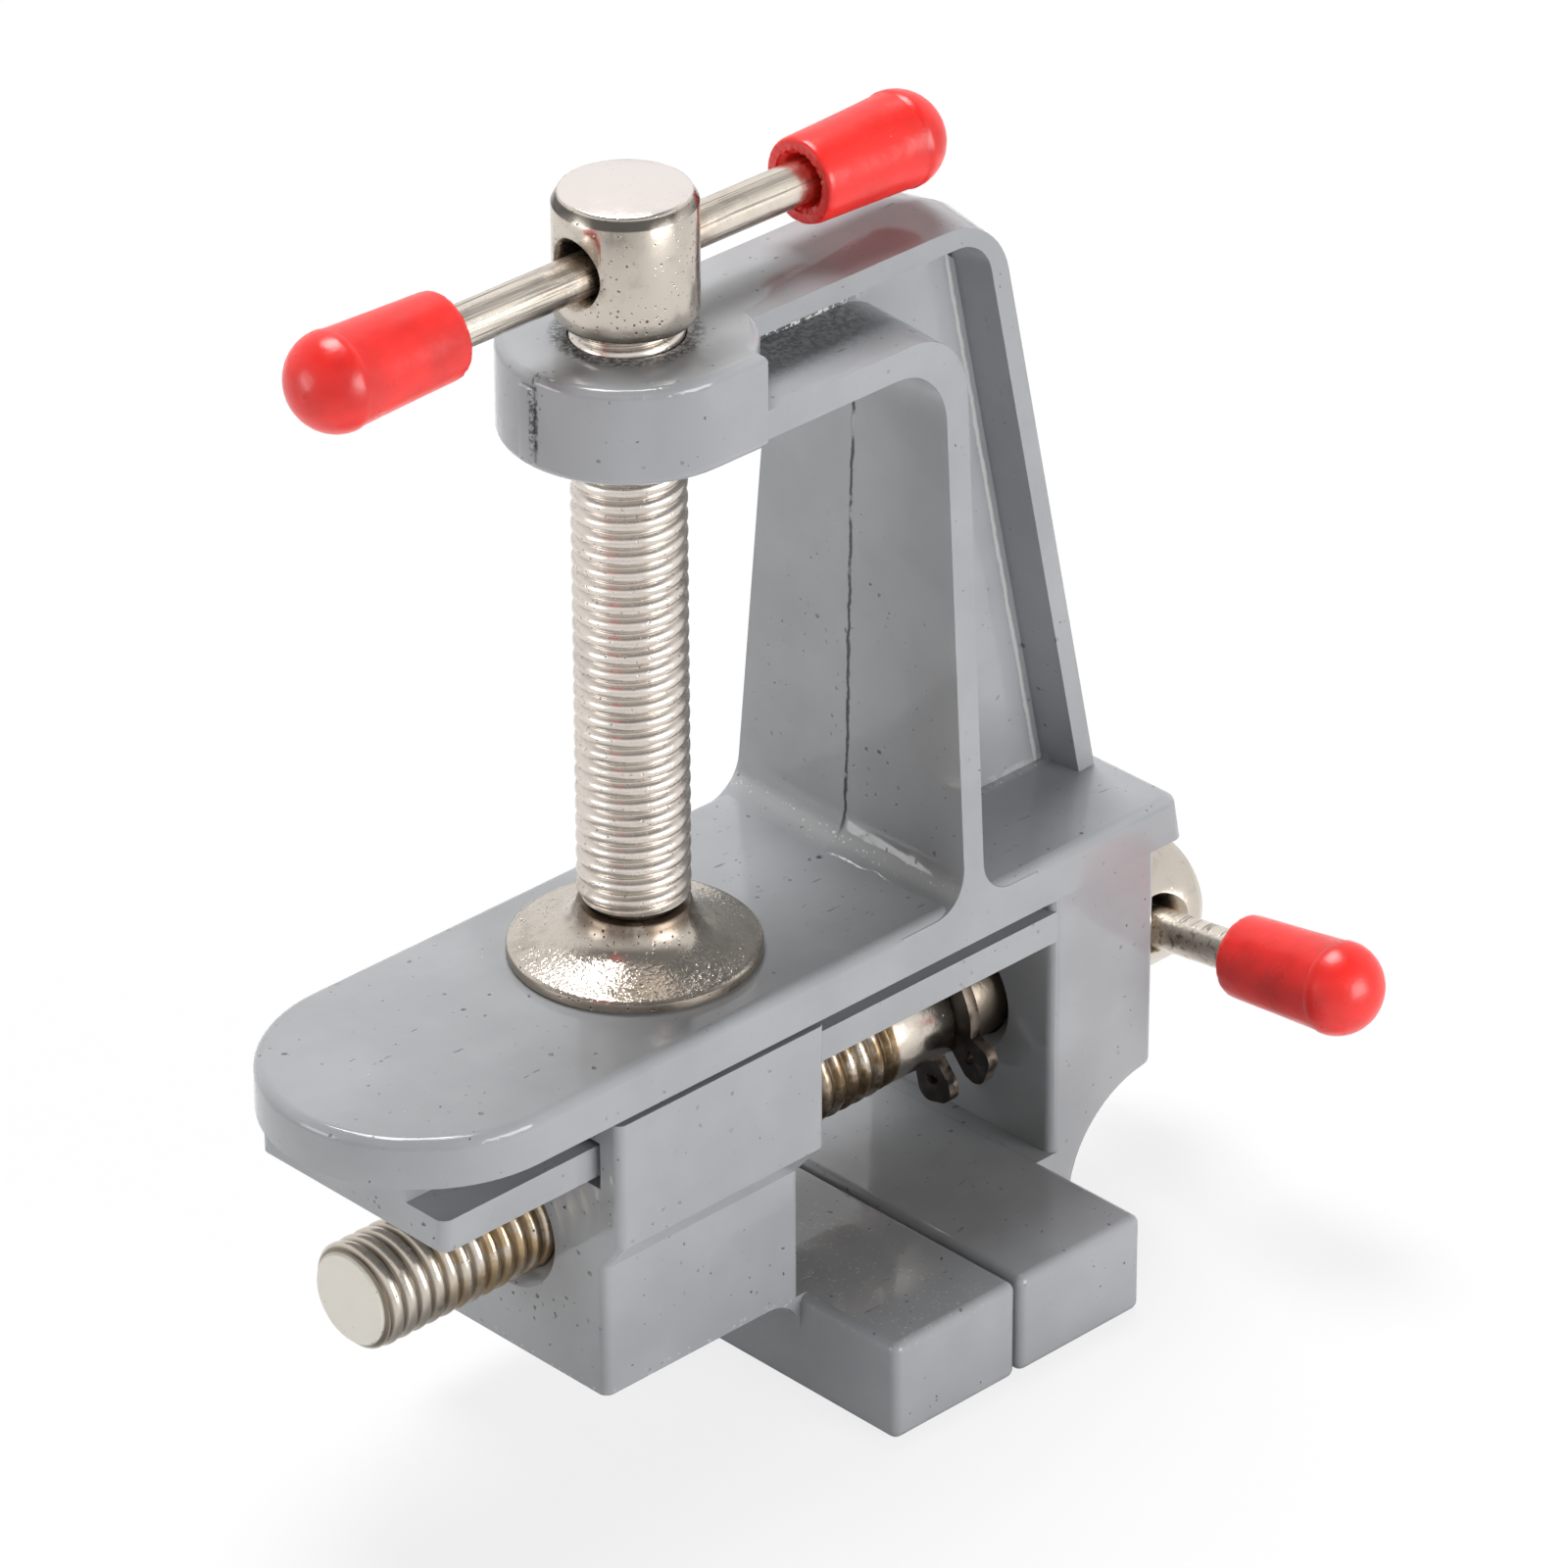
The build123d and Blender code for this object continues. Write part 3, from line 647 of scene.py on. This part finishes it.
def profile(name, points):
    """An open line extruded from point to point, each a radius and a height in mm."""
    deselect()
    bpy.ops.mesh.primitive_plane_add(size=MM)
    line = bpy.context.active_object
    line.name = line.data.name = name
    bpy.ops.object.mode_set(mode="EDIT")
    bpy.ops.mesh.select_all(action="SELECT")
    bpy.ops.mesh.merge(type="CENTER")
    places = [Vector((radius, 0, height)) * MM for radius, height in points]
    bpy.ops.transform.translate(value=places[0])
    for start, end in zip(places, places[1:]):
        bpy.ops.mesh.extrude_vertices_move(TRANSFORM_OT_translate={"value": end - start})
    bpy.ops.object.mode_set(mode="OBJECT")
    return line


def turned(name, points, sides=96):
    """A closed solid turned about Z from a line that starts and ends on the axis."""
    piece = profile(name, points)
    apply_modifier(piece, "SCREW", steps=sides, render_steps=sides, use_merge_vertices=True,
                   merge_threshold=DOUBLED * MM)
    clean(piece)
    return piece


def trim(piece, height, keep_below):
    """Cuts a piece off at a height in mm and closes it there."""
    only(piece)
    bpy.ops.object.mode_set(mode="EDIT")
    bpy.ops.mesh.select_all(action="SELECT")
    bpy.ops.mesh.bisect(plane_co=(0, 0, height * MM), plane_no=(0, 0, 1), use_fill=True,
                        clear_outer=keep_below, clear_inner=not keep_below, threshold=1e-7)
    bpy.ops.object.mode_set(mode="OBJECT")


def cut(piece, cutter, operation="DIFFERENCE"):
    """Takes one closed solid from another, or keeps what both share."""
    apply_modifier(piece, "BOOLEAN", object=cutter, operation=operation, solver="EXACT")
    bpy.data.objects.remove(cutter)


def joined(name, pieces):
    """Makes closed solids that reach into each other one piece."""
    deselect()
    for piece in pieces:
        piece.select_set(True)
    bpy.context.view_layer.objects.active = pieces[0]
    bpy.ops.object.join()
    pieces[0].name = pieces[0].data.name = name
    return pieces[0]


def smooth(piece, degrees=32):
    only(piece)
    bpy.ops.object.shade_smooth_by_angle(angle=math.radians(degrees))


def finish_piece(piece, material, body, slot, *nodes):
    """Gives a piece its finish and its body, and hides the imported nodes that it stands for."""
    piece.data.materials.clear()
    piece.data.materials.append(material)
    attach(piece, body)
    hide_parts(*nodes)


def shift_surface(piece, amount):
    """Moves each vertex along its normal by amount(places), all in mm."""
    mesh = piece.data
    count = len(mesh.vertices)
    places, normals = np.empty(count * 3), np.empty(count * 3)
    mesh.vertices.foreach_get("co", places)
    mesh.vertices.foreach_get("normal", normals)
    places, normals = places.reshape(-1, 3) / MM, normals.reshape(-1, 3)
    places += normals * amount(places)[:, None]
    mesh.vertices.foreach_set("co", (places * MM).ravel())
    mesh.update()


def softened(node, name, radius):
    """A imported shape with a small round, in metres, on each edge that the solid leaves sharp."""
    piece = bpy.data.objects.new(name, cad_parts[node].data.copy())
    bpy.context.collection.objects.link(piece)
    clean(piece)
    bpy.ops.object.mode_set(mode="EDIT")
    bpy.ops.mesh.select_all(action="SELECT")
    bpy.ops.mesh.dissolve_limited(angle_limit=math.radians(0.5))
    bpy.ops.object.mode_set(mode="OBJECT")
    apply_modifier(piece, "BEVEL", width=radius, segments=3, limit_method="ANGLE",
                   angle_limit=math.radians(28))
    smooth(piece, 40)
    apply_modifier(piece, "WEIGHTED_NORMAL", keep_sharp=True)
    return piece


# --- Castings --------------------------------------------------------------------------------
class VISE_OT_frame_casting(bpy.types.Operator):
    """Build the frame casting with its cast edges and the ground-off stub of its gate"""
    bl_idname = "vise.frame_casting"
    bl_label = "Frame casting"

    def execute(self, context):
        cast = context.scene.vise_casting
        body = softened("clamp_frame", "frame_body", cast.edge_round)
        piece = joined("frame_casting", [body, self.gate(cast.gate_stub / MM)])
        finish_piece(piece, enamel(), "frame", "casting", "clamp_frame")
        return {"FINISHED"}

    def gate(self, proud):
        """Flat strip down the boss where the gate was ground off."""
        depth, width, height = 2.0, 1.3, 5.5
        deselect()
        bpy.ops.mesh.primitive_cube_add(size=MM)
        strip = bpy.context.active_object
        strip.scale = (depth, width, height)
        boss_end = CLAMP_X - BOSS_RADIUS
        place = Vector((boss_end - proud + depth / 2, 0.15, CROWN_TOP - 4.0))
        strip.location = place * MM
        bpy.ops.object.transform_apply(location=True, rotation=True, scale=True)
        apply_modifier(strip, "BEVEL", width=0.14 * MM, segments=2)
        smooth(strip, 40)
        return strip


class VISE_OT_sliding_jaw(bpy.types.Operator):
    """Build the sliding jaw casting with its cast edges"""
    bl_idname = "vise.sliding_jaw"
    bl_label = "Sliding jaw"

    def execute(self, context):
        piece = softened("sliding_jaw", "jaw_casting", context.scene.vise_casting.edge_round)
        finish_piece(piece, enamel(), "jaw", "casting", "sliding_jaw")
        return {"FINISHED"}


# --- Screws ----------------------------------------------------------------------------------
def thread(name, low, high):
    """A right-hand threaded rod about Z between two heights, chamfered at both ends."""
    screws = bpy.context.scene.vise_screws
    pitch, crest, root = screws.pitch / MM, screws.crest_radius / MM, screws.root_radius / MM
    depth = crest - root
    flank = [(root + depth * share, place) for share, place in (
        (0, 0), (0.06, 0.05), (0.32, 0.12), (0.64, 0.20), (0.86, 0.29), (0.97, 0.39), (1, 0.5),
        (0.97, 0.61), (0.86, 0.71), (0.64, 0.80), (0.32, 0.88), (0.06, 0.95), (0, 1))]
    start = low - 2 * pitch
    rod = profile(name, [(radius, start + share * pitch) for radius, share in flank])
    turns, steps = math.ceil((high - low) / pitch) + 4, 72
    apply_modifier(rod, "SCREW", steps=steps, render_steps=steps, screw_offset=screws.pitch,
                   iterations=turns)
    clean(rod)
    trim(rod, high + 0.3, keep_below=True)
    trim(rod, low - 0.3, keep_below=False)
    clean(rod)
    narrow, wide, slant = crest - 0.7, crest + 0.2, 0.9
    cut(rod, turned("thread_envelope", [(0, low), (narrow, low), (wide, low + slant),
                                        (wide, high - slant), (narrow, high), (0, high)]),
        "INTERSECT")
    clean(rod, 0.005)  # joins the slivers that the cut leaves
    return rod


def screw_head(name):
    """Head standing on Z = 0, bevelled at its top, with a worn, flared cross hole along X."""
    top = HEAD_LENGTH
    head = turned(name, [(0, 0), (4.1, 0), (4.5, 0.12), (4.76, 0.42), (4.85, 0.85),
                         (4.85, top - 0.86), (4.81, top - 0.76), (4.47, top - 0.16),
                         (4.40, top - 0.06), (4.25, top), (0, top)], 128)
    half = [(0, 7.0), (4.6, 7.0), (2.62, 4.9), (2.3, 4.5), (2.02, 4.05), (1.89, 3.6), (1.85, 3.1)]
    hole = turned("cross_hole", [(r, -z) for r, z in half] + half[::-1], 64)
    settle(hole, facing((0, 0, top / 2), ALONG_X))
    cut(head, hole)
    apply_modifier(head, "BEVEL", width=0.09 * MM, segments=2, limit_method="ANGLE",
                   angle_limit=math.radians(40))
    return head


class VISE_OT_clamp_screw(bpy.types.Operator):
    """Build the clamp screw: swivel knuckle, neck, thread and drilled head"""
    bl_idname = "vise.clamp_screw"
    bl_label = "Clamp screw"

    def execute(self, context):
        foot, head_foot = CLAMP_FOOT + 0.03, CLAMP_HEAD_TOP - HEAD_LENGTH
        thread_foot = PLATE_TOP + 4.15
        knuckle = turned("knuckle", [
            (0, foot), (2.3, foot), (3.0, foot + 0.7), (3.0, foot + 2.0), (2.5, foot + 2.05),
            (2.5, thread_foot + 0.5), (0, thread_foot + 0.5)])
        head = screw_head("clamp_head")
        settle(head, Matrix.Translation((0, 0, head_foot * MM)))
        rod = thread("clamp_thread", thread_foot, head_foot + 0.6)
        piece = joined("clamp_screw_turned", [rod, knuckle, head])
        settle(piece, Matrix.Translation((CLAMP_X * MM, 0, 0)))
        smooth(piece, 40)
        finish_piece(piece, clamp_screw_plate(), "clamp_screw", "plated_steel", "clamp_screw")
        return {"FINISHED"}


class VISE_OT_lead_screw(bpy.types.Operator):
    """Build the lead screw: thread, smooth shank with the ring's groove, and drilled head"""
    bl_idname = "vise.lead_screw"
    bl_label = "Lead screw"

    def execute(self, context):
        groove, groove_end = RING_BACK - LEAD_END, RING_FRONT - LEAD_END
        thread_end = groove - 5.7
        head_foot = LEAD_HEAD_END - HEAD_LENGTH - LEAD_END
        shank = turned("lead_shank", [
            (0, thread_end - 0.8), (3.2, thread_end - 0.8), (3.76, thread_end - 0.1),
            (3.8, thread_end + 0.2), (3.8, groove - 0.25), (3.68, groove), (3.45, groove),
            (3.45, groove_end), (3.68, groove_end), (3.8, groove_end + 0.25),
            (3.8, head_foot + 0.5), (0, head_foot + 0.5)])
        head = screw_head("lead_head")
        settle(head, Matrix.Translation((0, 0, head_foot * MM)))
        piece = joined("lead_screw_turned", [thread("lead_thread", 0, thread_end), shank, head])
        settle(piece, facing((LEAD_END, 0, LEAD_Z), ALONG_X, LEAD_BAR_LINE))
        smooth(piece, 40)
        finish_piece(piece, lead_screw_plate(), "lead_screw", "plated_steel", "lead_screw")
        return {"FINISHED"}


class VISE_OT_retaining_ring(bpy.types.Operator):
    """Round the edges of the stamped ring"""
    bl_idname = "vise.retaining_ring"
    bl_label = "Retaining ring"

    def execute(self, context):
        piece = softened("retaining_ring", "stamped_ring", 0.12 * MM)
        finish_piece(piece, black_oxide(), "lead_screw", "blackened_steel", "retaining_ring")
        return {"FINISHED"}


class VISE_OT_clamp_pad(bpy.types.Operator):
    """Build the dished pad that swivels on the clamp screw"""
    bl_idname = "vise.clamp_pad"
    bl_label = "Clamp pad"

    def execute(self, context):
        slope = [(3.95, 3.88), (4.02, 3.5), (4.3, 2.85), (4.8, 2.3), (5.5, 1.82), (6.4, 1.42),
                 (7.3, 1.14), (8.1, 0.96), (8.55, 0.86), (8.72, 0.74)]
        piece = turned("dished_pad", [
            (0, 0), (8.6, 0), (8.75, 0.12), (8.75, 0.6), *slope[::-1], (3.82, 4.0), (2.7, 4.0),
            (2.55, 3.85), (2.55, 3.1), (3.05, 3.1), (3.05, 1.0), (0, 1.0)], 128)
        settle(piece, Matrix.Translation((CLAMP_X * MM, 0, PLATE_TOP * MM)))
        smooth(piece, 40)
        finish_piece(piece, pad_plate(), "pad", "plated_steel", "clamp_pad")
        return {"FINISHED"}


# --- Handles ---------------------------------------------------------------------------------
def handle_line(screw):
    """Middle of a sliding bar and the direction that its first cap lies in."""
    return middle(screw + "_bar"), {"clamp": ALONG_X, "lead": LEAD_BAR_LINE}[screw]


class VISE_OT_bars(bpy.types.Operator):
    """Build the two drawn rods that slide in the screw heads"""
    bl_idname = "vise.bars"
    bl_label = "Sliding bars"

    def execute(self, context):
        half, nose = HALF_BAR, HALF_BAR - 0.25
        for screw in ("clamp", "lead"):
            centre, along = handle_line(screw)
            rod = turned(screw + "_rod", [(0, -half), (1.25, -half), (1.5, -nose), (1.5, nose),
                                          (1.25, half), (0, half)], 64)
            settle(rod, facing(centre, along, OFF_AXIS))
            smooth(rod)
            steel = drawn_bar(screw + "_bar_steel", along, centre)
            finish_piece(rod, steel, screw + "_handle", "bar_steel", screw + "_bar")
        return {"FINISHED"}


class VISE_OT_caps(bpy.types.Operator):
    """Build the soft caps pushed on the ends of the bars"""
    bl_idname = "vise.caps"
    bl_label = "Soft caps"

    def execute(self, context):
        first = self.moulded(context.scene.vise_caps.ragged / MM)
        material = vinyl()
        for index, name in enumerate(("clamp_cap_a", "clamp_cap_b", "lead_cap_a", "lead_cap_b")):
            screw, _, side = name.partition("_cap_")
            centre, along = handle_line(screw)
            outward = along if side == "a" else -along
            cap = first.copy()
            cap.data = first.data.copy()
            cap.name = cap.data.name = name + "_vinyl"
            context.collection.objects.link(cap)
            spin = Matrix.Rotation(math.radians(95 * index + 20), 4, "Z")
            settle(cap, facing(centre, outward, OFF_AXIS) @ spin)
            smooth(cap, 50)
            finish_piece(cap, material, screw + "_handle", "cap", name)
        bpy.data.objects.remove(first)
        return {"FINISHED"}

    def moulded(self, ragged):
        """One cap, its bar's middle at the origin and its round end up, with a trimmed mouth."""
        mouth, tip, bore = CAP_MOUTH, CAP_TIP, 1.5
        dome, reach = 3.45, 3.3
        shoulder = tip - reach
        outside = [(2.78, mouth), (2.94, mouth + 0.07), (3.04, mouth + 0.25), (3.07, mouth + 0.6),
                   (3.12, mouth + 2.4), (3.18, mouth + 4.4), (3.26, mouth + 6.6),
                   (3.35, shoulder - 0.2), (3.37, shoulder - 0.1), (3.44, shoulder)]
        rounds = [(dome * math.cos(a), shoulder + reach * math.sin(a))
                  for a in (math.radians(9 * step) for step in range(1, 10))]
        inside = [(0, HALF_BAR), (bore, HALF_BAR), (bore, mouth + 2.0), (1.72, mouth + 1.5),
                  (1.82, mouth + 0.5), (1.9, mouth + 0.28), (2.12, mouth + 0.16), (2.2, mouth)]
        cap = turned("moulded_cap", inside + outside + rounds + [(0, tip)], 112)

        def trimmed(places):
            reach = np.hypot(places[:, 0], places[:, 1])
            rim = np.clip((mouth + 0.9 - places[:, 2]) / 0.7, 0, 1) * np.clip(3.2 - reach, 0.25, 1)
            wobble = np.array([noise.noise(Vector(place) * 1.9) for place in places])
            return -np.abs(wobble) * 2 * ragged * rim

        shift_surface(cap, trimmed)
        return cap


# --- Studio ----------------------------------------------------------------------------------
class VISE_OT_stage(bpy.types.Operator):
    """Set up the pale floor, the soft lights, the white background and the camera"""
    bl_idname = "vise.stage"
    bl_label = "Stage"

    def execute(self, context):
        stage = context.scene.vise_stage
        self.floor()
        self.lights()
        self.world(context.scene)
        a, e, r = stage.azimuth, stage.elevation, stage.roll
        back = Vector((math.sin(a) * math.cos(e), -math.cos(a) * math.cos(e), math.sin(e)))
        level = Vector((0, 0, 1)).cross(back).normalized()
        upright = back.cross(level)
        right = level * math.cos(r) + upright * math.sin(r)
        up = upright * math.cos(r) - level * math.sin(r)
        data = bpy.data.cameras.new("photo_camera")
        data.sensor_width = SENSOR
        data.lens = stage.lens
        data.clip_start, data.clip_end = 0.01, 20
        camera = bpy.data.objects.new("photo_camera", data)
        turn = Matrix((right, up, back)).transposed().to_4x4()
        camera.matrix_world = Matrix.Translation(stage.camera_place) @ turn
        context.collection.objects.link(camera)
        context.scene.camera = camera
        return {"FINISHED"}

    def floor(self):
        deselect()
        bpy.ops.mesh.primitive_plane_add(size=3.0, location=(0, 0, -0.02 * MM))
        floor = bpy.context.active_object
        floor.name = "floor"
        look = Finish("white_floor")
        look.set(Base_Color=(0.9, 0.9, 0.9), Roughness=0.9, Specular_IOR_Level=0.1)
        glow = look.node("ShaderNodeEmission", {}, {"Color": (1, 1, 1), "Strength": 1.0})
        seen = look.node("ShaderNodeLightPath").amount("Is Camera Ray")
        mix = look.node("ShaderNodeMixShader", {}, {0: seen * 0.8, 1: look.shader.out(),
                                                    2: glow.out()})
        look.link(mix.out(), look.output.node.inputs["Surface"])
        floor.data.materials.append(look.material)

    def lights(self):
        for name, place, size, power in LAMPS:
            data = bpy.data.lights.new(name, "AREA")
            data.shape, data.size, data.energy = "SQUARE", size, power
            lamp = bpy.data.objects.new(name, data)
            turn = (LAMP_AIM - Vector(place)).to_track_quat("-Z", "Y").to_matrix().to_4x4()
            lamp.matrix_world = Matrix.Translation(place) @ turn
            bpy.context.collection.objects.link(lamp)

    def world(self, scene):
        """White for the camera, white below a dimmer ceiling for reflections, else ambient."""
        world = bpy.data.worlds.new("white_studio")
        tree = Tree(world)
        path = tree.node("ShaderNodeLightPath")
        camera, mirrored, through = (
            path.amount(f"Is {kind} Ray") for kind in ("Camera", "Glossy", "Transmission"))
        height = tree.axes(tree.node("ShaderNodeTexCoord").out("Generated"))[2]
        below_ceiling = 1.0 - height.ramp(0.60, 0.86) * 0.75
        ambient, white = (
            tree.node("ShaderNodeBackground", {}, {"Color": (1, 1, 1), "Strength": strength})
            for strength in (AMBIENT, below_ceiling.most(camera)))
        mix = tree.node("ShaderNodeMixShader", {}, {
            0: camera.most(mirrored).most(through), 1: ambient.out(), 2: white.out()})
        tree.node("ShaderNodeOutputWorld", {}, {"Surface": mix.out()})
        scene.world = world
        scene.view_settings.view_transform = "Standard"


# --- Panel and registration ------------------------------------------------------------------
class VISE_PT_panel(bpy.types.Panel):
    """Lists the vise's pieces and their settings"""
    bl_idname = "VISE_PT_panel"
    bl_label = "Clamp-on vise"
    bl_space_type = "VIEW_3D"
    bl_region_type = "UI"
    bl_category = "Vise"

    def draw(self, context):
        for group, kind in GROUPS.items():
            box = self.layout.box()
            for name in kind.__annotations__:
                box.prop(getattr(context.scene, group), name)
        for operator in STEPS:
            self.layout.operator(operator.bl_idname)


GROUPS = {"vise_casting": ViseCastingSettings, "vise_screws": ViseScrewSettings,
          "vise_caps": ViseCapSettings, "vise_stage": ViseStageSettings}
STEPS = (VISE_OT_frame_casting, VISE_OT_sliding_jaw, VISE_OT_clamp_screw, VISE_OT_lead_screw,
         VISE_OT_retaining_ring, VISE_OT_clamp_pad, VISE_OT_bars, VISE_OT_caps, VISE_OT_stage)
CLASSES = (*GROUPS.values(), *STEPS, VISE_PT_panel)


def register():
    for cls in CLASSES:
        bpy.utils.register_class(cls)
    for name, group in GROUPS.items():
        setattr(bpy.types.Scene, name, bpy.props.PointerProperty(type=group))


def unregister():
    for name in GROUPS:
        delattr(bpy.types.Scene, name)
    for cls in reversed(CLASSES):
        bpy.utils.unregister_class(cls)


def main():
    register()
    for step in STEPS:
        group, name = step.bl_idname.split(".")
        getattr(getattr(bpy.ops, group), name)()


if __name__ == "__main__":
    main()
